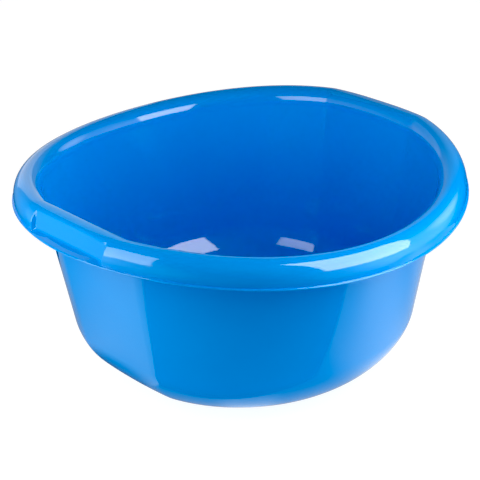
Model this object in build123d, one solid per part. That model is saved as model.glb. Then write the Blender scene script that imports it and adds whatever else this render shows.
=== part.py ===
from build123d import *
import math
import os

# A round plastic washing-up bowl, moulded in one piece: a drafted wall on a soft base
# corner, a hollow rolled rim that waves up towards two opposite finger grips, and a thin
# lip round the rim's lower edge. Millimetres and degrees.
# +X runs from the middle to one grip, +Y across, +Z up. The origin is on the table, under
# the middle of the bowl. An azimuth is the turn about +Z from the nearer grip.

# Mouth and height: the lip's height is that of its underside, halfway up the rim's wave
lip_diameter = 390.0
lip_height = 156.0
rim_wave = 6.5
level_half_angle = 5.0

# Moulded wall: it leaves the base by a soft corner, which rises and reaches in so far
wall_thickness = 2.2
wall_draft = 10.0
shoulder_rise = 46.5
shoulder_reach = 42.0
shoulder_fullness_share = 0.5

# Rolled rim: rises are measured from the lip's underside, insets from the lip's edge
lip_thickness = 2.0
crest_rise = 21.4
crest_inset = 14.6
skirt_inset = 1.4
skirt_straight = 2.8
wall_top_rise = 6.7
wall_top_inset = 23.5

# Finger grips: a flat leaning face cut in the roll's outer side, from a ledge up to a soft
# top edge, with splayed ends
grip_width = 83.0
grip_end_reach = 3.2
grip_ledge_width = 9.5
grip_ledge_rise = 3.7
grip_face_rise = 13.3
grip_face_lean = 13.0
grip_edge_fullness_share = 0.5

# Flats on the wall and rim behind the grips, a little wider than them
flat_margin = 11.5
flat_crown = 2.3

# Underside: a foot ring round a raised panel, with the moulding gate in its middle
foot_ring_width = 12.0
panel_rise = 1.5
panel_overlap = 3.0
panel_step_slope = 0.7
gate_diameter = 9.0
gate_depth = 0.7

# Sections along each kind of stretch of the rim
sections_per_side = 3
sections_per_grip = 7
sections_per_round = 19

# Turns
quarter_turn = 90.0
half_turn = 180.0

# A conic arc of this weight is a quarter of an ellipse
quarter_weight_share = math.sqrt(0.5)

# Worked out from the sizes above
lip_radius = lip_diameter / 2
lip_end_radius = lip_radius - lip_thickness / 2
crest_radius = lip_radius - crest_inset
skirt_radius = lip_radius - skirt_inset
wall_top_radius = lip_radius - wall_top_inset
level_thickness = wall_thickness / math.cos(math.radians(wall_draft))
base_radius = wall_top_radius - (lip_height + wall_top_rise) * math.tan(math.radians(wall_draft))
foot_outer_radius = base_radius - shoulder_reach
panel_radius = foot_outer_radius - foot_ring_width
panel_floor_radius = panel_radius - panel_step_slope
grip_face_distance = lip_radius - grip_ledge_width
grip_half_angle = math.degrees(math.atan2(grip_width / 2, grip_face_distance))
grip_end_angle = math.degrees(grip_end_reach / lip_radius)
flat_half_width = grip_width / 2 + flat_margin
flat_half_angle = math.degrees(math.asin(flat_half_width / crest_radius))


def lip_level(azimuth):
    """Height of the lip's underside: high and level at the grips, low between them."""
    turn = max(azimuth - level_half_angle, 0.0) * quarter_turn / (quarter_turn - level_half_angle)
    return lip_height + rim_wave * math.cos(2 * math.radians(turn))


def flattened(radius, azimuth, crown):
    """Distance from the axis to a circle with a flat, crowned by so much, at the grip."""
    if azimuth >= flat_half_angle:
        return radius
    turn = math.radians(azimuth)
    across = math.sin(turn) / math.sin(math.radians(flat_half_angle))
    return radius * math.cos(math.radians(flat_half_angle)) / math.cos(turn) + crown * (1 - across**2)


def skirt(azimuth, full_share):
    """Radius and rise of the roll's outer foot, and the lean and top of the side over it."""
    scoop = min(grip_face_distance / math.cos(math.radians(azimuth)), skirt_radius)
    radius = scoop + (skirt_radius - scoop) * full_share
    rise = grip_ledge_rise + (lip_thickness - grip_ledge_rise) * full_share
    lean = math.tan(math.radians(grip_face_lean * (1 - full_share)))
    straight = grip_face_rise + (skirt_straight - grip_face_rise) * full_share
    return radius, rise, lean, rise + straight


def roll_weight(full_share):
    """Weight of the arc from the roll's outer side to its crest."""
    return grip_edge_fullness_share + (quarter_weight_share - grip_edge_fullness_share) * full_share


def conic(start, corner, end, weight):
    """Arc from start to end, tangent at both to the lines through the corner."""
    return Edge.make_bezier(start, corner, end, weights=[1, weight, 1])


def wall_section(angle, outside_share, underside_share):
    """Closed outline of the moulding, cut by the upright half plane at a world angle.

    The shares say how full the roll's outside and its underside are: 0 in a grip's scoop,
    and 1 on the whole roll.
    """
    turn = math.radians(angle)
    azimuth = abs((angle + quarter_turn) % half_turn - quarter_turn)
    level = lip_level(azimuth)
    crest = flattened(crest_radius, azimuth, 0)
    crest_top = level + crest_rise
    hollow_top = crest_top - wall_thickness
    wall_top = level + wall_top_rise

    def at(radius, height):
        return Vector(radius * math.cos(turn), radius * math.sin(turn), height)

    def wall(height, inset):
        spread = (wall_top_radius - base_radius) * height / wall_top
        return flattened(base_radius + spread, azimuth, flat_crown) - inset

    # The roll's outer side, and the hollow's, one wall thickness further in
    foot, foot_rise, lean, side_top = skirt(azimuth, outside_share)
    hollow_foot, hollow_rise, hollow_lean, hollow_side_top = skirt(azimuth, underside_share)

    def outer_skirt(rise):
        return at(foot - (rise - foot_rise) * lean, level + rise)

    def hollow_skirt(rise):
        lean_in = max(rise - hollow_rise, 0) * hollow_lean
        return at(hollow_foot - wall_thickness - lean_in, level + rise)

    # The inner base corner is tighter by the wall's thickness, turned through its angle
    corner_trim = wall_thickness * math.tan(math.radians(quarter_turn - wall_draft) / 2)
    inner_high = wall_thickness + shoulder_rise - corner_trim
    inner_low = wall(wall_thickness, level_thickness) - shoulder_reach + corner_trim

    points = {
        "foot ring": at(panel_radius, 0),
        "outer low": at(wall(0, 0) - shoulder_reach, 0),
        "outer corner": at(wall(0, 0), 0),
        "outer high": at(wall(shoulder_rise, 0), shoulder_rise),
        "outer wall top": at(wall(wall_top, 0), wall_top),
        "hollow inner corner": at(wall(wall_top, 0), hollow_top),
        "hollow crown": at(crest, hollow_top),
        "hollow outer corner": hollow_skirt(hollow_top - level),
        "hollow shoulder": hollow_skirt(hollow_side_top),
        "hollow foot": hollow_skirt(0),
        "lip underside": at(lip_end_radius, level),
        "lip low corner": at(lip_radius, level),
        "lip side": at(lip_radius, level + lip_thickness / 2),
        "lip high corner": at(lip_radius, level + lip_thickness),
        "lip top": at(lip_end_radius, level + lip_thickness),
        "roll foot": outer_skirt(foot_rise),
        "roll shoulder": outer_skirt(side_top),
        "roll outer corner": outer_skirt(crest_rise),
        "crest": at(crest, crest_top),
        "roll inner corner": at(wall(wall_top, level_thickness), crest_top),
        "inner wall top": at(wall(wall_top, level_thickness), wall_top),
        "inner high": at(wall(inner_high, level_thickness), inner_high),
        "inner corner": at(wall(wall_thickness, level_thickness), wall_thickness),
        "inner low": at(inner_low, wall_thickness),
        "floor ring": at(panel_floor_radius, wall_thickness),
    }

    def line(start, end):
        return Edge.make_line(points[start], points[end])

    def arc(start, corner, end, weight=quarter_weight_share):
        return conic(points[start], points[corner], points[end], weight)

    return Wire([
        line("foot ring", "outer low"),
        arc("outer low", "outer corner", "outer high", shoulder_fullness_share),
        line("outer high", "outer wall top"),
        arc("outer wall top", "hollow inner corner", "hollow crown"),
        arc("hollow crown", "hollow outer corner", "hollow shoulder", roll_weight(underside_share)),
        line("hollow shoulder", "hollow foot"),
        line("hollow foot", "lip underside"),
        arc("lip underside", "lip low corner", "lip side"),
        arc("lip side", "lip high corner", "lip top"),
        line("lip top", "roll foot"),
        line("roll foot", "roll shoulder"),
        arc("roll shoulder", "roll outer corner", "crest", roll_weight(outside_share)),
        arc("crest", "roll inner corner", "inner wall top"),
        line("inner wall top", "inner high"),
        arc("inner high", "inner corner", "inner low", shoulder_fullness_share),
        line("inner low", "floor ring"),
        line("floor ring", "foot ring"),
    ])


def stretch(first, last, count, share):
    """Solid stretch of wall and rim between two world angles, scooped or full all along."""
    step = (last - first) / (count - 1)
    return Solid.make_loft([wall_section(first + step * index, share, share) for index in range(count)])


def change(first, last, first_shares, last_shares):
    """Short stretch over which the roll goes straight from one pair of shares to another."""
    return Solid.make_loft([wall_section(first, *first_shares), wall_section(last, *last_shares)], ruled=True)


def grip_side(middle):
    """The stretches behind and beside one finger grip, whose middle is at a world angle."""
    pieces = [stretch(middle - grip_half_angle, middle + grip_half_angle, sections_per_grip, 0)]
    for side in (-1, 1):
        scoop_end = middle + side * grip_half_angle
        outside_end = scoop_end + side * grip_end_angle
        underside_end = outside_end + side * grip_end_angle
        flat_end = middle + side * flat_half_angle
        pieces.append(change(scoop_end, outside_end, (0, 0), (1, 0)))
        pieces.append(change(outside_end, underside_end, (1, 0), (1, 1)))
        pieces.append(stretch(underside_end, flat_end, sections_per_side, 1))
    return pieces


def round_side(middle):
    """The round stretch between the two grips, whose middle is at a world angle."""
    reach = quarter_turn - flat_half_angle
    return stretch(middle - reach, middle + reach, sections_per_round, 1)


def floor_panel():
    """Raised middle of the base, with the gate's stub hanging a little below it."""
    top = panel_rise + wall_thickness
    wide = panel_radius + panel_overlap
    low_edge = (wide, panel_rise)
    high_edge = (wide - panel_step_slope, top)
    outline = Polyline((0, panel_rise), low_edge, high_edge, (0, top), close=True)
    panel = revolve(Plane.XZ * make_face(outline), Axis.Z)
    gate = Pos(0, 0, panel_rise) * Cylinder(gate_diameter / 2, 2 * gate_depth)
    return panel + gate


def bowl():
    """The whole moulding."""
    stretches = [round_side(quarter_turn), round_side(quarter_turn + half_turn)]
    for middle in (0, half_turn):
        stretches += grip_side(middle)
    return floor_panel().fuse(*stretches)


os.makedirs("parts", exist_ok=True)
export_step(bowl(), "parts/bowl.step")
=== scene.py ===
"""A blue plastic washing-up bowl on a pale floor, under soft studio light.

The bowl is one moulding. Its skin is drawn as a wire in an upright plane, spun round the
upright axis, and then shaped into the flats, the waved rim and the two finger grips.
Lengths are in metres and turns in degrees. An azimuth is the turn from the nearer grip.
"""

import logging
import math
from dataclasses import dataclass
from enum import Enum
from functools import lru_cache

import bpy
from mathutils import Matrix, Vector
from mathutils.kdtree import KDTree


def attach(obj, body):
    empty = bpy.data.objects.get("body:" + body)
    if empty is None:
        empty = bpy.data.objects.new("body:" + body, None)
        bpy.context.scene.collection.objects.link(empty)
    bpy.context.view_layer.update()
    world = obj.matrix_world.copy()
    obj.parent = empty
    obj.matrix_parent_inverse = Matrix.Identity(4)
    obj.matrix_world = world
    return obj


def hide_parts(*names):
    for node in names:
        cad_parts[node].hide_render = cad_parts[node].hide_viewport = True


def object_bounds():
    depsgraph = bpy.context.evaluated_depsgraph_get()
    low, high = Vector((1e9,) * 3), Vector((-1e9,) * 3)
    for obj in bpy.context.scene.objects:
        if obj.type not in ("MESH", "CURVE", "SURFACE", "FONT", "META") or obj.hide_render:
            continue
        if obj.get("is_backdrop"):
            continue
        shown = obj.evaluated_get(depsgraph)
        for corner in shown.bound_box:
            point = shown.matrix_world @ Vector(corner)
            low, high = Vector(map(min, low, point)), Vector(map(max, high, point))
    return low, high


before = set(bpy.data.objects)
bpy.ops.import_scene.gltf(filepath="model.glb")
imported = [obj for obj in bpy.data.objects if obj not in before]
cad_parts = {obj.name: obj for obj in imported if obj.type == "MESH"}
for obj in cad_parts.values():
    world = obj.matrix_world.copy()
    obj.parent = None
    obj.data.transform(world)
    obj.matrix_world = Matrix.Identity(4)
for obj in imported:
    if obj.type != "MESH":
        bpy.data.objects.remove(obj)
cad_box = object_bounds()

logging.basicConfig(level=logging.INFO, format="%(message)s")
log = logging.getLogger("bowl")

MM = 0.001
QUARTER_TURN = 90.0
HALF_TURN = 180.0
BODY = "root"
NODE = "bowl"
PHOTO_SIDE = 480
CAMERA_AZIMUTH = 46.6
ACROSS_AZIMUTH = CAMERA_AZIMUTH + QUARTER_TURN
WHITE = (1.0, 1.0, 1.0)

Point = tuple[float, float]
Colour = tuple[float, float, float]


class Arc(Enum):
    """How far an arc bulges into its corner, as the weight of a conic."""

    ELLIPSE = math.sqrt(0.5)
    SOFT = 0.5


class Role(Enum):
    """Which rays a white sheet of the studio is there for."""

    SEEN = "camera"
    SHEDDING = "diffuse"
    MIRRORED = "glossy"


class Sum(Enum):
    """Sums that a material works out with Math nodes."""

    ADD = "ADD"
    SUBTRACT = "SUBTRACT"
    MULTIPLY = "MULTIPLY"


def smooth_step(value: float) -> float:
    """Eased share of a value, held at 0 and 1.

    Args:
        value: the plain share, which may lie outside 0 to 1.

    Returns:
        The eased share.
    """
    share = min(max(value, 0.0), 1.0)
    return share * share * (3.0 - 2.0 * share)


def soft_min(first: float, second: float, blend: float) -> float:
    """Smaller of two lengths, rounded off where they are nearly equal.

    Args:
        first: one length.
        second: the other length.
        blend: how near to each other the two are where the rounding starts.

    Returns:
        The rounded smaller length.
    """
    overlap = max(blend - abs(first - second), 0.0) / blend
    return min(first, second) - overlap * overlap * blend / 4


def colour4(colour: Colour) -> tuple[float, float, float, float]:
    """The colour with full cover, as Blender's sockets take it."""
    return (*colour, 1.0)


class Outline:
    """Points of the moulding's skin in the upright half plane, each a radius and a height."""

    most_guard_share = 0.25

    def __init__(self, first: Point) -> None:
        """Starts the outline at a point."""
        self.points: list[Point] = [first]

    def line(self, end: Point, count: int, guard: float = 0.5 * MM) -> None:
        """Adds a straight run, with a point close to each end so that it shades flat.

        Args:
            end: the run's last point.
            count: how many even parts the run has.
            guard: how far the close points are from the ends.
        """
        start = self.points[-1]
        near = min(guard / max(math.dist(start, end), guard), self.most_guard_share)
        shares = [near] + [index / count for index in range(1, count)] + [1 - near, 1.0]
        self.points += [tuple(a + (b - a) * share for a, b in zip(start, end)) for share in shares]

    def conic(self, corner: Point, end: Point, arc: Arc, count: int) -> None:
        """Adds an arc, tangent at both ends to the lines to a corner.

        Args:
            corner: where the two end tangents meet.
            end: the arc's last point.
            arc: how far it bulges into the corner.
            count: how many points it adds.
        """
        start = self.points[-1]
        for index in range(1, count + 1):
            t = index / count
            shares = ((1 - t) ** 2, 2 * arc.value * t * (1 - t), t * t)
            total = sum(shares)
            self.points.append(tuple(sum(share * value for share, value in zip(shares, values)) / total
                                     for values in zip(start, corner, end)))


@dataclass(frozen=True)
class Level:
    """Sizes of the moulding at one azimuth."""

    lip: float
    crest: float
    top: float
    hollow_top: float
    wall_top: float


@dataclass(frozen=True)
class Skirt:
    """Foot of the roll's outer side: its radius, its rise over the lip and its lean as a slope."""

    radius: float
    rise: float
    lean: float


class Socket:
    """A number on a material's wire, on which sums add Math nodes."""

    def __init__(self, bench: "Bench", socket: bpy.types.NodeSocket) -> None:
        """Wraps a node's output."""
        self.bench = bench
        self.socket = socket

    def _sum(self, operation: Sum, first: "Socket | float", second: "Socket | float") -> "Socket":
        """Adds a Math node.

        Args:
            operation: the sum.
            first: its first number.
            second: its second number.

        Returns:
            The result.
        """
        node = self.bench.add("ShaderNodeMath", {"operation": operation.value}, {0: first, 1: second})
        return Socket(self.bench, node.outputs[0])

    def __add__(self, other: "Socket | float") -> "Socket":
        """This plus other."""
        return self._sum(Sum.ADD, self, other)

    __radd__ = __add__

    def __sub__(self, other: "Socket | float") -> "Socket":
        """This less other."""
        return self._sum(Sum.SUBTRACT, self, other)

    def __rsub__(self, other: "Socket | float") -> "Socket":
        """Other less this."""
        return self._sum(Sum.SUBTRACT, other, self)

    def __mul__(self, other: "Socket | float") -> "Socket":
        """This times other."""
        return self._sum(Sum.MULTIPLY, self, other)

    __rmul__ = __mul__


class Bench:
    """The nodes of one material, or of the surroundings."""

    def __init__(self, owner: bpy.types.Material | bpy.types.World) -> None:
        """Clears the owner's nodes."""
        owner.use_nodes = True
        self.tree = owner.node_tree
        self.tree.nodes.clear()

    def add(self, kind: str, settings: dict[str, object], inputs: dict[object, object]) -> bpy.types.Node:
        """Adds a node.

        Args:
            kind: the node's type.
            settings: its settings, or under "stops" a ramp's places and greys.
            inputs: a value or a wire for each socket, by name or number.

        Returns:
            The node.
        """
        node = self.tree.nodes.new(kind)
        for name, value in settings.items():
            if name == "stops":
                self._set_stops(node.color_ramp, value)
            else:
                setattr(node, name, value)
        for name, value in inputs.items():
            if isinstance(value, Socket):
                value = value.socket
            if isinstance(value, bpy.types.NodeSocket):
                self.tree.links.new(value, node.inputs[name])
            else:
                node.inputs[name].default_value = value
        return node

    @staticmethod
    def _set_stops(ramp: bpy.types.ColorRamp, stops: list[Point]) -> None:
        """Gives a ramp its stops.

        Args:
            ramp: the ramp, with its two first stops.
            stops: the place and the grey of each stop.
        """
        while len(ramp.elements) < len(stops):
            ramp.elements.new(0.5)
        for element, (place, grey) in zip(ramp.elements, stops):
            element.position = place
            element.color = (grey, grey, grey, 1.0)

    def noise(self, place: bpy.types.NodeSocket, scale: float, detail: float) -> Socket:
        """Adds a noise pattern.

        Args:
            place: the coordinates that it reads.
            scale: how many waves there are in a metre.
            detail: how many finer waves lie on them.

        Returns:
            The pattern, from 0 to 1.
        """
        node = self.add("ShaderNodeTexNoise", {}, {"Vector": place, "Scale": scale, "Detail": detail})
        return Socket(self, node.outputs["Fac"])

    def ramp(self, value: Socket, stops: list[Point]) -> Socket:
        """Adds a grey ramp.

        Args:
            value: what it reads.
            stops: the place and the grey of each stop.

        Returns:
            The grey.
        """
        node = self.add("ShaderNodeValToRGB", {"stops": stops}, {"Fac": value})
        return Socket(self, node.outputs["Color"])

    def mix(self, share: Socket, first: Colour, second: Colour) -> bpy.types.NodeSocket:
        """Mixes two colours.

        Args:
            share: how much of the second there is.
            first: the colour at 0.
            second: the colour at 1.

        Returns:
            The mixed colour.
        """
        node = self.add("ShaderNodeMix", {"data_type": "RGBA"},
                        {0: share, 6: colour4(first), 7: colour4(second)})
        return node.outputs[2]


@dataclass(frozen=True)
class Fade:
    """An eased change of a share along a level direction."""

    facing: float
    start: float
    end: float
    first: float
    last: float

    def share(self, bench: Bench, place: bpy.types.NodeSocket) -> Socket:
        """Works out the share at each place.

        Args:
            bench: the nodes that it is added to.
            place: the coordinates that it reads.

        Returns:
            The share, the first before the start and the last past the end.
        """
        turn = math.radians(self.facing)
        dot = bench.add("ShaderNodeVectorMath", {"operation": "DOT_PRODUCT"},
                        {0: place, 1: (math.cos(turn), math.sin(turn), 0.0)})
        node = bench.add("ShaderNodeMapRange", {"interpolation_type": "SMOOTHSTEP"}, {
            "Value": dot.outputs["Value"], "From Min": self.start, "From Max": self.end,
            "To Min": self.first, "To Max": self.last})
        return Socket(bench, node.outputs[0])


@dataclass(frozen=True)
class Spot:
    """An eased change of a share away from a place on the table, which paints a darker or lighter patch into a
    sheet's glow.
    """

    centre: Point
    inner: float
    outer: float
    first: float
    last: float

    def share(self, bench: Bench, place: bpy.types.NodeSocket) -> Socket:
        """Works out the share at each place.

        Args:
            bench: the nodes that it is added to.
            place: the coordinates that it reads.

        Returns:
            The share, the first within the inner radius and the last past the outer one.
        """
        away = bench.add("ShaderNodeVectorMath", {"operation": "DISTANCE"},
                         {0: place, 1: (*self.centre, 0.0)})
        node = bench.add("ShaderNodeMapRange", {"interpolation_type": "SMOOTHSTEP"}, {
            "Value": away.outputs["Value"], "From Min": self.inner, "From Max": self.outer,
            "To Min": self.first, "To Max": self.last})
        return Socket(bench, node.outputs[0])


@dataclass(frozen=True)
class GlossyBluePlastic:
    """Glossy moulded polypropylene in a strong blue, faintly mottled, with fine wear."""

    colour: Colour = (0.0, 0.31, 0.83)
    mottled: Colour = (0.0, 0.29, 0.80)
    roughness: float = 0.055
    roughness_spread: float = 0.04
    specular: float = 0.42
    ior: float = 1.5
    cloud_scale: float = 9.0
    cloud_detail: float = 3.0
    cloud_start: float = 0.35
    cloud_end: float = 0.65
    satin_scale: float = 38.0
    satin_detail: float = 4.0
    ripple_scale: float = 55.0
    ripple_detail: float = 1.0
    ripple_height: float = 0.06 * MM
    grain_scale: float = 1400.0
    grain_detail: float = 2.0
    grain_height: float = 0.006 * MM

    def material(self) -> bpy.types.Material:
        """Makes the material.

        Returns:
            The material, which reads Object coordinates.
        """
        material = bpy.data.materials.new("blue_polypropylene")
        bench = Bench(material)
        place = bench.add("ShaderNodeTexCoord", {}, {}).outputs["Object"]
        clouds = bench.noise(place, self.cloud_scale, self.cloud_detail)
        mottling = bench.ramp(clouds, [(self.cloud_start, 0.0), (self.cloud_end, 1.0)])
        satin = bench.noise(place, self.satin_scale, self.satin_detail)
        ripple = bench.noise(place, self.ripple_scale, self.ripple_detail)
        grain = bench.noise(place, self.grain_scale, self.grain_detail)
        waves = bench.add("ShaderNodeBump", {}, {
            "Strength": 1.0, "Distance": self.ripple_height, "Height": ripple})
        skin = bench.add("ShaderNodeBump", {}, {
            "Strength": 1.0, "Distance": self.grain_height, "Height": grain, "Normal": waves.outputs[0]})
        shader = bench.add("ShaderNodeBsdfPrincipled", {}, {
            "Base Color": bench.mix(mottling, self.colour, self.mottled),
            "Roughness": self.roughness + (satin - 0.5) * self.roughness_spread,
            "Specular IOR Level": self.specular, "IOR": self.ior, "Normal": skin.outputs[0]})
        bench.add("ShaderNodeOutputMaterial", {}, {"Surface": shader.outputs[0]})
        return material


@dataclass(eq=False)
class Bowl:
    """The bowl, one moulding: its sizes, its mesh and its finish."""

    lip_radius: float = 195.0 * MM
    lip_height: float = 156.0 * MM
    rim_wave: float = 6.5 * MM
    level_half_angle: float = 5.0
    thickness: float = 2.2 * MM
    draft: float = 10.0
    shoulder_rise: float = 46.5 * MM
    shoulder_reach: float = 42.0 * MM
    lip_thickness: float = 2.0 * MM
    crest_rise: float = 21.4 * MM
    crest_inset: float = 14.6 * MM
    skirt_inset: float = 1.4 * MM
    skirt_straight: float = 2.8 * MM
    wall_top_rise: float = 6.7 * MM
    wall_top_inset: float = 23.5 * MM
    grip_half_width: float = 41.5 * MM
    grip_end_reach: float = 2.2 * MM
    grip_end_inset: float = 1.2 * MM
    grip_splay: float = 4.8 * MM
    grip_hollow_delay: float = 2.4 * MM
    ledge_width: float = 9.5 * MM
    ledge_rise: float = 3.7 * MM
    ledge_fillet: float = 1.8 * MM
    face_lean: float = 13.0
    face_edge: float = 4.0 * MM
    flat_half_width: float = 53.0 * MM
    flat_crown: float = 2.3 * MM
    crease_round: float = 0.9 * MM
    foot_ring_width: float = 12.0 * MM
    panel_rise: float = 1.5 * MM
    panel_overlap: float = 3.0 * MM
    gate_radius: float = 4.5 * MM
    gate_depth: float = 0.7 * MM
    edge_round: float = 0.6 * MM
    edge_points: int = 3
    lip_points: int = 4
    fillet_points: int = 6
    hollow_points: int = 10
    hollow_side_points: int = 12
    bend_points: int = 16
    roll_points: int = 28
    short_run: int = 2
    ledge_run: int = 3
    wall_run: int = 5
    floor_run: int = 6
    ledge_guard: float = 0.2 * MM
    side_guard: float = 0.3 * MM
    end_lead: float = 0.4
    end_reach: float = 1.7
    crease_reach: float = 1.5
    face_sectors: int = 8
    end_sectors: int = 24
    side_sectors: int = 3
    crease_sectors: int = 12
    round_sectors: int = 60
    merge_gap: float = 0.01 * MM
    finish: GlossyBluePlastic = GlossyBluePlastic()

    def __post_init__(self) -> None:
        """Works out the sizes that follow from the fields."""
        self.crest_radius = self.lip_radius - self.crest_inset
        self.skirt_radius = self.lip_radius - self.skirt_inset
        self.wall_top_radius = self.lip_radius - self.wall_top_inset
        slope = math.tan(math.radians(self.draft))
        self.base_radius = self.wall_top_radius - (self.lip_height + self.wall_top_rise) * slope
        self.level_thickness = self.thickness / math.cos(math.radians(self.draft))
        self.face_distance = self.lip_radius - self.ledge_width
        self.foot_outer = self.base_radius - self.shoulder_reach
        self.panel_radius = self.foot_outer - self.foot_ring_width
        self.flat_half_angle = math.degrees(math.asin(self.flat_half_width / self.crest_radius))
        self.grip_half_angle = math.degrees(math.atan2(self.grip_half_width, self.face_distance))

    def at_azimuth(self, azimuth: float) -> Level:
        """Works out the sizes at an azimuth: the rim is high at the grips and low between them.

        Args:
            azimuth: the turn from the nearer grip.

        Returns:
            The heights and the crest's radius.
        """
        spread = QUARTER_TURN / (QUARTER_TURN - self.level_half_angle)
        turn = max(azimuth - self.level_half_angle, 0.0) * spread
        lip = self.lip_height + self.rim_wave * math.cos(2 * math.radians(turn))
        top = lip + self.crest_rise
        crest = self.flattened(self.crest_radius, azimuth, 0.0)
        return Level(lip, crest, top, top - self.thickness, lip + self.wall_top_rise)

    def flattened(self, radius: float, azimuth: float, crown: float) -> float:
        """Distance from the axis to a circle with a flat at the grip.

        Args:
            radius: the circle's radius.
            azimuth: the turn from the nearer grip.
            crown: how far the flat swells in its middle.

        Returns:
            The distance, with the crease at the flat's end a little rounded.
        """
        if azimuth > 2 * self.flat_half_angle:
            return radius
        limit = math.radians(self.flat_half_angle)
        turn = math.radians(azimuth)
        across = math.sin(turn) / math.sin(limit)
        flat = radius * math.cos(limit) / math.cos(turn) + crown * (1 - across * across)
        return soft_min(radius, flat, self.crease_round)

    def wall(self, azimuth: float, height: float, inset: float) -> Point:
        """Finds a point of the wall's slanting line.

        Args:
            azimuth: the turn from the nearer grip.
            height: the point's height.
            inset: how far inside the outer skin it is.

        Returns:
            The point.
        """
        spread = (self.wall_top_radius - self.base_radius) * height / self.at_azimuth(azimuth).wall_top
        return self.flattened(self.base_radius + spread, azimuth, self.flat_crown) - inset, height

    def fullness(self, azimuth: float, rise: float, delay: float) -> float:
        """How full the roll is: 0 where a grip's face cuts it, 1 past the grip's splayed ends.

        Args:
            azimuth: the turn from the nearer grip.
            rise: how far over the lip's underside the point is.
            delay: how much further out the change lies, along the rim.

        Returns:
            The share, eased so that the grip's ends have rounded edges.
        """
        along = math.radians(azimuth - self.grip_half_angle) * self.lip_radius
        rise_share = max(rise - self.ledge_rise, 0.0) / (self.crest_rise - self.ledge_rise)
        start = delay - self.grip_end_inset + self.grip_splay * math.sqrt(rise_share)
        return smooth_step((along - start) / self.grip_end_reach)

    def skirt(self, azimuth: float, full: float) -> Skirt:
        """Finds the foot of the roll's outer side.

        Args:
            azimuth: the turn from the nearer grip.
            full: 0 for the roll that a grip cuts and 1 for the whole roll.

        Returns:
            The foot, between those of the cut and the whole roll.
        """
        cut = min(self.face_distance / math.cos(math.radians(azimuth)), self.skirt_radius)
        return Skirt(cut + (self.skirt_radius - cut) * full,
                     self.ledge_rise + (self.lip_thickness - self.ledge_rise) * full,
                     math.tan(math.radians(self.face_lean * (1 - full))))

    def roll_side(self, at: Level, foot: Skirt, rise: float, skin: float, is_cut: bool) -> float:
        """Radius of the roll's outer side.

        Args:
            at: the sizes at the azimuth.
            foot: the foot of the side.
            rise: how far over the lip's underside the point is.
            skin: how far under the outer skin it is.
            is_cut: whether a grip's flat face cuts the roll.

        Returns:
            The radius, with a soft edge where the face meets the roll.
        """
        low = self.lip_thickness + self.skirt_straight
        share = min(max(rise - low, 0.0) / (self.crest_rise - skin - low), 1.0)
        roll = at.crest + (self.skirt_radius - skin - at.crest) * math.sqrt(1 - share * share)
        if not is_cut:
            return roll
        return soft_min(roll, foot.radius - skin - (rise - foot.rise) * foot.lean, self.face_edge)

    @lru_cache(maxsize=None)
    def outline(self, azimuth: float) -> tuple[Point, ...]:
        """Skin of the moulding at one azimuth, with the same number of points at each.

        Args:
            azimuth: the turn from the nearer grip.

        Returns:
            The points, from the underside's middle out, over the rim and in to the floor's middle.
        """
        skin = Outline((0.0, self.panel_rise - self.gate_depth))
        self.add_underside(skin, azimuth)
        self.add_hollow(skin, azimuth)
        self.add_lip(skin, azimuth)
        self.add_roll(skin, azimuth)
        self.add_inside(skin, azimuth)
        return tuple(skin.points)

    def add_underside(self, skin: Outline, azimuth: float) -> None:
        """Adds the gate's stub, the raised panel, the foot ring, the shoulder and the wall's outside.

        Args:
            skin: the outline so far, which starts at the underside's middle.
            azimuth: the turn from the nearer grip.
        """
        r = self.edge_round
        gate, rise, low = self.gate_radius, self.panel_rise, self.panel_rise - self.gate_depth
        skin.line((gate - r / 2, low), self.short_run)
        skin.conic((gate, low), (gate, (low + rise) / 2), Arc.ELLIPSE, self.edge_points)
        skin.conic((gate, rise), (gate + r / 2, rise), Arc.ELLIPSE, self.edge_points)
        skin.line((self.panel_radius - r, rise), self.floor_run)
        skin.conic((self.panel_radius, rise), (self.panel_radius, rise / 2), Arc.ELLIPSE, self.edge_points)
        skin.conic((self.panel_radius, 0.0), (self.panel_radius + r, 0.0), Arc.ELLIPSE, self.edge_points)
        corner = self.wall(azimuth, 0.0, 0.0)
        skin.line((corner[0] - self.shoulder_reach, 0.0), self.short_run)
        skin.conic(corner, self.wall(azimuth, self.shoulder_rise, 0.0), Arc.SOFT, self.bend_points)
        skin.line(self.wall(azimuth, self.at_azimuth(azimuth).wall_top, 0.0), self.wall_run)

    def add_hollow(self, skin: Outline, azimuth: float) -> None:
        """Adds the inside of the rolled rim, which is open from below.

        Args:
            skin: the outline so far, which ends at the top of the wall's outside.
            azimuth: the turn from the nearer grip.
        """
        at = self.at_azimuth(azimuth)
        skin.conic((self.wall(azimuth, at.wall_top, 0.0)[0], at.hollow_top), (at.crest, at.hollow_top),
                   Arc.ELLIPSE, self.hollow_points)
        whole, cut = Outline(skin.points[-1]), Outline(skin.points[-1])
        for outline, full in ((whole, 1.0), (cut, 0.0)):
            foot = self.skirt(azimuth, full)
            low, high = foot.rise + self.skirt_straight, self.crest_rise - self.thickness
            for index in range(1, self.hollow_side_points + 1):
                turn = QUARTER_TURN * index / self.hollow_side_points
                rise = low + (high - low) * math.cos(math.radians(turn))
                side = self.roll_side(at, foot, rise, self.thickness, full == 0)
                outline.points.append((side, at.lip + rise))
            side = foot.radius - self.thickness
            outline.line((side, at.lip + self.edge_round), self.short_run)
            outline.conic((side, at.lip), (side + self.edge_round, at.lip), Arc.ELLIPSE, self.edge_points)
        self.add_between(skin, cut, whole, at, azimuth, self.grip_hollow_delay)

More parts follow.
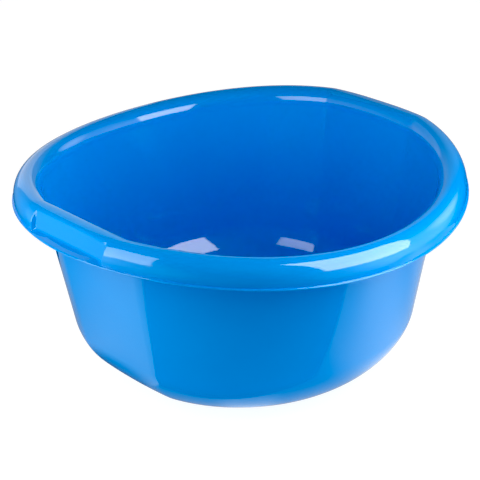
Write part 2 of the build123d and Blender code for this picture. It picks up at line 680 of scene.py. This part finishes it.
    def add_between(self, skin: Outline, cut: Outline, whole: Outline, at: Level, azimuth: float,
                    delay: float) -> None:
        """Adds points between those of the roll that a grip cuts and those of the whole roll.

        Args:
            skin: the outline so far, which ends at the first point of the other two.
            cut: the points of the cut roll.
            whole: the points of the whole roll.
            at: the sizes at the azimuth.
            azimuth: the turn from the nearer grip.
            delay: how much further out the change lies, along the rim.
        """
        for cut_point, whole_point in zip(cut.points[1:], whole.points[1:]):
            share = self.fullness(azimuth, cut_point[1] - at.lip, delay)
            skin.points.append(tuple(a + (b - a) * share for a, b in zip(cut_point, whole_point)))

    def add_lip(self, skin: Outline, azimuth: float) -> None:
        """Adds the thin lip's underside and its rounded edge.

        Args:
            skin: the outline so far, which ends at the foot of the rim's hollow.
            azimuth: the turn from the nearer grip.
        """
        low = self.at_azimuth(azimuth).lip
        high = low + self.lip_thickness
        end = self.lip_radius - self.lip_thickness / 2
        skin.line((end, low), self.ledge_run)
        skin.conic((self.lip_radius, low), (self.lip_radius, (low + high) / 2), Arc.ELLIPSE, self.lip_points)
        skin.conic((self.lip_radius, high), (end, high), Arc.ELLIPSE, self.lip_points)

    def add_roll(self, skin: Outline, azimuth: float) -> None:
        """Adds the roll's outer side: ledge, fillet, side and arc to the crest, whole or cut.

        Args:
            skin: the outline so far, which ends on top of the lip.
            azimuth: the turn from the nearer grip.
        """
        at = self.at_azimuth(azimuth)
        start = skin.points[-1]
        whole, cut = Outline(start), Outline(start)
        for outline, full in ((whole, 1.0), (cut, 0.0)):
            foot = self.skirt(azimuth, full)
            run = max(start[0] - foot.radius, 0.0)
            fillet = min(self.ledge_fillet, run / 2)
            slope = (foot.rise - self.lip_thickness) / max(run, MM)
            outline.line((foot.radius + fillet, at.lip + foot.rise - slope * fillet), self.ledge_run,
                         self.ledge_guard)
            outline.conic((foot.radius, at.lip + foot.rise),
                          (foot.radius - fillet * foot.lean, at.lip + foot.rise + fillet), Arc.ELLIPSE,
                          self.fillet_points)
            low = foot.rise + self.skirt_straight
            outline.line((self.roll_side(at, foot, low, 0.0, full == 0), at.lip + low), self.short_run,
                         self.side_guard)
            for index in range(1, self.roll_points + 1):
                turn = QUARTER_TURN * index / self.roll_points
                rise = low + (self.crest_rise - low) * math.sin(math.radians(turn))
                outline.points.append((self.roll_side(at, foot, rise, 0.0, full == 0), at.lip + rise))
        self.add_between(skin, cut, whole, at, azimuth, 0.0)

    def add_inside(self, skin: Outline, azimuth: float) -> None:
        """Adds the roll's inner side, the wall's inside, the inner corner and the floor.

        Args:
            skin: the outline so far, which ends on the roll's crest.
            azimuth: the turn from the nearer grip.
        """
        at = self.at_azimuth(azimuth)
        top = self.wall(azimuth, at.wall_top, self.level_thickness)
        skin.conic((top[0], at.top), top, Arc.ELLIPSE, self.bend_points)
        trim = self.thickness * math.tan(math.radians(QUARTER_TURN - self.draft) / 2)
        bend_top = self.thickness + self.shoulder_rise - trim
        skin.line(self.wall(azimuth, bend_top, self.level_thickness), self.wall_run)
        corner = self.wall(azimuth, self.thickness, self.level_thickness)
        skin.conic(corner, (corner[0] - self.shoulder_reach + trim, self.thickness), Arc.SOFT,
                   self.bend_points)
        r = self.edge_round
        edge, floor = self.panel_radius + self.panel_overlap, self.thickness + self.panel_rise
        skin.line((edge + 2 * r, self.thickness), self.short_run)
        skin.conic((edge, self.thickness), (edge, (self.thickness + floor) / 2), Arc.ELLIPSE, self.lip_points)
        skin.conic((edge, floor), (edge - 2 * r, floor), Arc.ELLIPSE, self.lip_points)
        skin.line((0.0, floor), self.floor_run)

    def sectors(self) -> list[tuple[float, int]]:
        """Divides a quarter's spin, finely at the grip's end and more widely elsewhere.

        Returns:
            The turn and the number of steps of each stretch, from the grip's middle on.
        """
        end, crease = self.grip_half_angle, self.flat_half_angle
        marks = [(0.0, self.face_sectors), (end - self.end_lead, self.end_sectors),
                 (end + self.end_reach, self.side_sectors), (crease - self.crease_reach, self.crease_sectors),
                 (crease + self.crease_reach, self.round_sectors)]
        turns = [mark for mark, _ in marks] + [QUARTER_TURN]
        return [(after - turn, count) for turn, after, (_, count) in zip(turns, turns[1:], marks)]

    def draw_wire(self, points: tuple[Point, ...]) -> bpy.types.Object:
        """Draws the round section's outline as a wire in the upright plane over +X.

        Args:
            points: the outline's points.

        Returns:
            The object, left in edit mode with the wire selected.
        """
        radius, height = points[0]
        bpy.ops.object.select_all(action="DESELECT")
        bpy.ops.mesh.primitive_plane_add(size=MM, location=(radius, 0.0, height))
        piece = bpy.context.active_object
        bpy.ops.object.mode_set(mode="EDIT")
        bpy.ops.mesh.select_all(action="SELECT")
        bpy.ops.mesh.merge(type="CENTER")
        for (radius, height), (after_radius, after_height) in zip(points, points[1:]):
            move = (after_radius - radius, 0.0, after_height - height)
            bpy.ops.mesh.extrude_region_move(TRANSFORM_OT_translate={"value": move})
        bpy.ops.mesh.select_all(action="SELECT")
        return piece

    def shape(self, piece: bpy.types.Object, points: tuple[Point, ...]) -> None:
        """Moves the spun skin's points to the flats, the waved rim and the grips.

        Args:
            piece: the spun skin.
            points: the outline that was spun.
        """
        tree = KDTree(len(points))
        for index, (radius, height) in enumerate(points):
            tree.insert((radius, height, 0.0), index)
        tree.balance()
        for vertex in piece.data.vertices:
            x, y, z = vertex.co
            _, index, _ = tree.find((math.hypot(x, y), z, 0.0))
            turn = math.atan2(y, x)
            azimuth = abs((math.degrees(turn) + QUARTER_TURN) % HALF_TURN - QUARTER_TURN)
            radius, height = self.outline(round(azimuth, 3))[index]
            vertex.co = (radius * math.cos(turn), radius * math.sin(turn), height)

    def build(self) -> bpy.types.Object:
        """Models the moulding and dresses it.

        Returns:
            The finished piece, at the origin.
        """
        points = self.outline(QUARTER_TURN)
        piece = self.draw_wire(points)
        for turn, count in self.sectors():
            bpy.ops.mesh.spin(steps=count, angle=math.radians(turn), center=(0.0, 0.0, 0.0),
                              axis=(0.0, 0.0, 1.0))
        bpy.ops.object.mode_set(mode="OBJECT")
        bpy.ops.object.transform_apply(location=True, rotation=True, scale=True)
        self.shape(piece, points)
        mirror = piece.modifiers.new("other_quarters", "MIRROR")
        mirror.use_axis = (True, True, False)
        mirror.merge_threshold = self.merge_gap
        bpy.ops.object.modifier_apply(modifier=mirror.name)
        bpy.ops.object.mode_set(mode="EDIT")
        bpy.ops.mesh.select_all(action="SELECT")
        bpy.ops.mesh.remove_doubles(threshold=self.merge_gap)
        bpy.ops.mesh.normals_make_consistent(inside=False)
        bpy.ops.object.mode_set(mode="OBJECT")
        bpy.ops.object.shade_smooth()
        piece.name = piece.data.name = "bowl_moulding"
        piece.data.materials.append(self.finish.material())
        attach(piece, BODY)
        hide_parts(NODE)
        return piece


@dataclass(frozen=True)
class Softbox:
    """A rectangular studio light, whose mirror image is stronger than the light that it sheds.

    The shed and the shine are radiances, and a card that is only mirrored sheds nothing.
    """

    name: str
    place: tuple[float, float, float]
    target: tuple[float, float, float]
    width: float
    height: float
    roll: float
    shed: float
    shine: float
    gap: float = 3.0 * MM

    def build(self) -> None:
        """Adds the light as two lamps, one close before the other.

        The one behind sheds light on matt surfaces, and the other shows as the mirror image.
        """
        for part, radiance, is_mirrored in (("shed", self.shed, False), ("shine", self.shine, True)):
            if radiance == 0.0:
                continue
            bpy.ops.object.light_add(type="AREA", location=self.place)
            lamp = bpy.context.active_object
            lamp.name = f"{self.name}_{part}"
            lamp.data.shape = "RECTANGLE"
            lamp.data.size, lamp.data.size_y = self.width, self.height
            lamp.data.energy = radiance * math.pi * self.width * self.height
            lamp.visible_diffuse, lamp.visible_glossy = not is_mirrored, is_mirrored
            aim = (Vector(self.target) - Vector(self.place)).to_track_quat("-Z", "Y")
            lamp.matrix_world = (Matrix.Translation(self.place) @ aim.to_matrix().to_4x4()
                                 @ Matrix.Rotation(math.radians(self.roll), 4, "Z")
                                 @ Matrix.Translation((0.0, 0.0, -self.gap * is_mirrored)))


@dataclass(frozen=True)
class Glow:
    """A round soft light far away, which fades from its middle out to its spread."""

    azimuth: float
    elevation: float
    spread: float
    radiance: float

    def light(self, bench: Bench, direction: bpy.types.NodeSocket) -> Socket:
        """Works out the light from each direction.

        Args:
            bench: the nodes of the surroundings.
            direction: the direction that is looked in.

        Returns:
            The radiance.
        """
        turn, rise = math.radians(self.azimuth), math.radians(self.elevation)
        middle = (math.cos(turn) * math.cos(rise), math.sin(turn) * math.cos(rise), math.sin(rise))
        dot = bench.add("ShaderNodeVectorMath", {"operation": "DOT_PRODUCT"}, {0: direction, 1: middle})
        node = bench.add("ShaderNodeMapRange", {"interpolation_type": "SMOOTHSTEP"}, {
            "Value": dot.outputs["Value"], "From Min": math.cos(math.radians(self.spread)), "From Max": 1.0,
            "To Max": self.radiance})
        return Socket(bench, node.outputs[0])


@dataclass(frozen=True)
class Sheet:
    """A flat white sheet on the table, more or less square to the camera's view.

    Its sides are lengths from the middle of the bowl: towards the camera and away, left and right.
    The fades multiply its light; on the mirrored sheets they paint where the table is lit and where the bowl's
    shadow falls.
    """

    name: str
    near: float
    far: float
    left: float
    right: float
    drop: float
    glow: float
    white: float
    role: Role
    fades: tuple[Fade | Spot, ...] = ()
    roughness: float = 0.9
    specular: float = 0.1

    def build(self) -> None:
        """Adds the sheet, for the rays of its role only."""
        bpy.ops.mesh.primitive_plane_add(size=1.0)
        piece = bpy.context.active_object
        piece.name = self.name
        piece.scale = (self.near + self.far, self.left + self.right, 1.0)
        middle = Vector(((self.near - self.far) / 2, (self.right - self.left) / 2, -self.drop))
        turned = Matrix.Rotation(math.radians(CAMERA_AZIMUTH), 4, "Z")
        piece.location = turned @ middle
        piece.rotation_euler = (0.0, 0.0, math.radians(CAMERA_AZIMUTH))
        piece.data.materials.append(self.material())
        bpy.ops.object.transform_apply(location=True, rotation=True, scale=True)
        piece.visible_camera = self.role is Role.SEEN
        piece.visible_diffuse = self.role is Role.SHEDDING
        piece.visible_glossy = self.role is Role.MIRRORED
        piece.visible_shadow = False
        piece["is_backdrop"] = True

    def material(self) -> bpy.types.Material:
        """A matt white finish, lit a little from below.

        Returns:
            The material.
        """
        material = bpy.data.materials.new(self.name)
        bench = Bench(material)
        light: Socket | tuple[float, ...] = colour4(WHITE)
        if self.fades:
            place = bench.add("ShaderNodeTexCoord", {}, {}).outputs["Object"]
            light = self.fades[0].share(bench, place)
            for fade in self.fades[1:]:
                light = light * fade.share(bench, place)
        shader = bench.add("ShaderNodeBsdfPrincipled", {}, {
            "Base Color": colour4((self.white,) * 3), "Roughness": self.roughness,
            "Specular IOR Level": self.specular, "Emission Color": light, "Emission Strength": self.glow})
        bench.add("ShaderNodeOutputMaterial", {}, {"Surface": shader.outputs[0]})
        return material


@dataclass
class Studio:
    """The pale floor, the lights and the surroundings.

    The floor shows to the camera. A smaller sheet in its place lights the bowl from below, and two
    more are there for the glossy skin to mirror, with edges where the lit part of the table ends.
    """

    floor: Sheet = Sheet("floor", 3.0, 3.0, 3.0, 3.0, 0.2 * MM, 0.92, 0.20, Role.SEEN)
    apron: Sheet = Sheet("lit_table", 0.33, 0.15, 0.8, 0.9, 0.4 * MM, 0.88, 0.0, Role.SHEDDING)
    # The mirrored table's fades and spot paint light and shade into its glow: darker under and behind the bowl
    # as painted shadow, lighter to the right, and a bright spot with a crisp edge that the base's shoulder
    # mirrors as a painted light band.
    table: Sheet = Sheet("mirrored_table", 0.24, 0.15, 0.09, 0.9, 0.6 * MM, 1.6, 0.0, Role.MIRRORED, (
        Fade(CAMERA_AZIMUTH, -0.03, 0.11, 0.36, 1.0), Fade(CAMERA_AZIMUTH, 0.11, 0.18, 1.0, 0.62),
        Fade(ACROSS_AZIMUTH, 0.08, 0.15, 0.33, 1.0), Fade(ACROSS_AZIMUTH, -0.09, 0.0, 0.5, 1.0),
        Spot((0.089, 0.099), 0.012, 0.038, 1.8, 1.0), Fade(34.2, 0.1365, 0.1415, 1.0, 0.0)))
    # The left mirrored table's glow is painted too: darker under and behind the bowl, a dark spot beside its
    # foot as the bowl's painted shadow, and a crisp edge where the lit part ends.
    left_table: Sheet = Sheet(
        "mirrored_table_left", 0.3, 0.15, 0.6, -0.09, 0.6 * MM, 1.1, 0.0, Role.MIRRORED, (
            Fade(CAMERA_AZIMUTH, -0.03, 0.11, 0.3, 1.0), Spot((0.104, -0.036), 0.035, 0.085, 0.15, 1.0),
            Fade(78.4, 0.057, 0.061, 1.0, 0.0)))
    black_level: float = 0.04
    left_box: Softbox = Softbox("left_softbox", (0.444, -0.045, 0.337), (0.0, -0.03, 0.12), 0.305, 0.272,
                                6.5, 3.7, 5.5)
    right_box: Softbox = Softbox("right_softbox", (-0.0520, 0.3196, 0.337), (0.0, 0.0, 0.12), 0.263, 0.284,
                                 -6.9, 3.0, 10.0)
    left_card: Softbox = Softbox("left_card", (-0.07, -0.47, 0.41), (0.10, -0.10, 0.30), 0.35, 0.56,
                                 0.0, 0.0, 0.7)
    glows: tuple[Glow, ...] = (
        Glow(138.0, 8.0, 42.0, 1.9), Glow(166.0, 17.0, 17.0, 2.2), Glow(225.0, 8.0, 40.0, 0.4),
        Glow(-90.0, 8.0, 40.0, 0.45), Glow(-44.0, 2.0, 42.0, 1.05), Glow(-8.0, 2.0, 40.0, 1.25),
        Glow(108.0, 0.0, 36.0, 1.25), Glow(92.0, 45.0, 48.0, 0.38), Glow(210.0, 45.0, 48.0, 0.35))

    def build(self) -> None:
        """Adds the floor, the lights and the surroundings."""
        bpy.ops.object.select_all(action="DESELECT")
        for part in (self.floor, self.apron, self.table, self.left_table, self.left_box, self.right_box,
                     self.left_card):
            part.build()
        self.surroundings()
        self.develop()

    def surroundings(self) -> None:
        """The broad soft lights from all round, which show to the camera as plain white."""
        world = bpy.data.worlds.new("studio")
        bpy.context.scene.world = world
        bench = Bench(world)
        direction = bench.add("ShaderNodeTexCoord", {}, {}).outputs["Generated"]
        light = self.glows[0].light(bench, direction)
        for glow in self.glows[1:]:
            light = light + glow.light(bench, direction)
        shader = bench.add("ShaderNodeBackground", {}, {"Color": light, "Strength": 1.0})
        white = bench.add("ShaderNodeBackground", {}, {"Color": colour4(WHITE), "Strength": 1.0})
        is_seen = bench.add("ShaderNodeLightPath", {}, {}).outputs["Is Camera Ray"]
        both = bench.add("ShaderNodeMixShader", {}, {0: is_seen, 1: shader.outputs[0], 2: white.outputs[0]})
        bench.add("ShaderNodeOutputWorld", {}, {"Surface": both.outputs[0]})

    def develop(self) -> None:
        """Sets how the picture is shown: plain colours, with the contrast of a product photograph."""
        view = bpy.context.scene.view_settings
        view.view_transform = "Standard"
        view.use_curve_mapping = True
        view.curve_mapping.black_level = (self.black_level,) * 3
        view.curve_mapping.update()


@dataclass(frozen=True)
class PhotoCamera:
    """The camera, at the photograph's place."""

    place: tuple[float, float, float] = (0.80314, 0.86948, 0.6859)
    right: tuple[float, float, float] = (-0.72562, 0.68751, -0.028701)
    up: tuple[float, float, float] = (-0.32244, -0.30288, 0.896826)
    focal_pixels: float = 1504.18
    sensor_width: float = 36.0
    clip_start: float = 0.05
    clip_end: float = 50.0

    def build(self) -> bpy.types.Object:
        """Adds the camera.

        Returns:
            The camera's object.
        """
        bpy.ops.object.camera_add()
        camera = bpy.context.active_object
        camera.name = "photo_camera"
        right = Vector(self.right).normalized()
        back = right.cross(Vector(self.up)).normalized()
        turned = Matrix((right, back.cross(right), back)).transposed().to_4x4()
        camera.matrix_world = Matrix.Translation(self.place) @ turned
        camera.data.sensor_width = self.sensor_width
        camera.data.lens = self.focal_pixels * self.sensor_width / PHOTO_SIDE
        camera.data.clip_start, camera.data.clip_end = self.clip_start, self.clip_end
        bpy.context.scene.camera = camera
        return camera


def main() -> None:
    """Builds the camera, the bowl and its light."""
    PhotoCamera().build()
    bowl = Bowl().build()
    log.info("bowl: %d faces", len(bowl.data.polygons))
    Studio().build()
    boxes = {"cad": [list(corner) for corner in cad_box], "visual": [list(corner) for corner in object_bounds()]}
    for name, (low, high) in boxes.items():
        log.info("%s box: %s to %s", name, *([round(value, 4) for value in corner] for corner in (low, high)))


if __name__ == "__main__":
    main()
